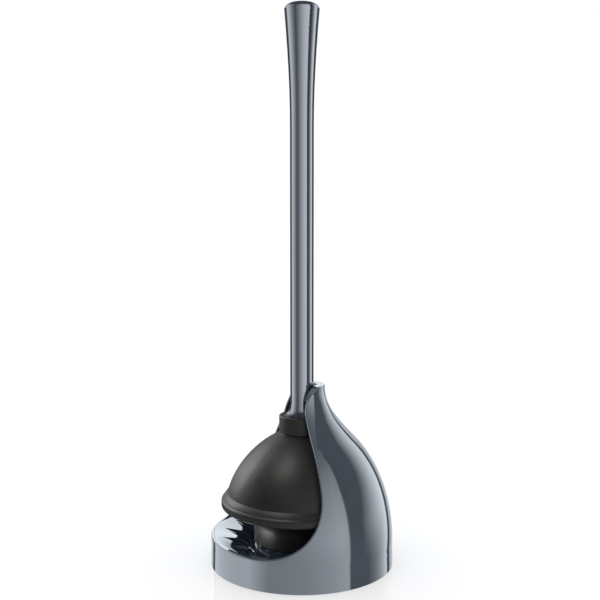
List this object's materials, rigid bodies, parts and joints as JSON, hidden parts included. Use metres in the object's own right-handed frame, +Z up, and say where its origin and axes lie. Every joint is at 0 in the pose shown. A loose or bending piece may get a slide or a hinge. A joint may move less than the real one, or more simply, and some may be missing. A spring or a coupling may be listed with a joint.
{
  "type": "toilet plunger",
  "caption": "Flanged rubber toilet plunger with a long flared handle, upright in a bell-shaped caddy with a cut-away front and a fluted drip tray; the plunger slides out at the front.",
  "frame": {"origin": "on the floor, at the centre of the caddy's round base", "axes": "+Z up along the handle, -Y out through the caddy's open front, +X to the right of the opening as seen from behind the caddy"},
  "size_m": [0.166, 0.166, 0.5],
  "materials": {
    "caddy_gloss": "high-gloss blue-grey gunmetal",
    "handle_paint": "high-gloss blue-grey gunmetal, a match for the caddy",
    "tray_gloss": "high gloss, a little darker than the caddy",
    "cup_rubber": "matte charcoal with a soft sheen",
    "foot_rubber": "matte",
    "hidden_plastic": "fine matte texture",
    "plated_steel": "zinc plated, satin"
  },
  "bodies": {
    "caddy": {"caddy_shell": "caddy_gloss", "collar": "caddy_gloss", "collar_magnet": "plated_steel", "drip_tray": "tray_gloss", "base_plate": "hidden_plastic", "base_screws": "plated_steel", "foot_pads": "foot_rubber"},
    "plunger": {"handle_tube": "handle_paint", "handle_cap": "handle_paint", "neck_core": "hidden_plastic", "rubber_cup": "cup_rubber", "cup_washer": "plated_steel", "cup_screw": "plated_steel"}
  },
  "joints": [
    {"name": "plunger_lift", "type": "slide", "parent": "caddy", "child": "plunger", "axis": [0, -0.9703, 0.2419], "range_m": [0, 0.2]}
  ]
}
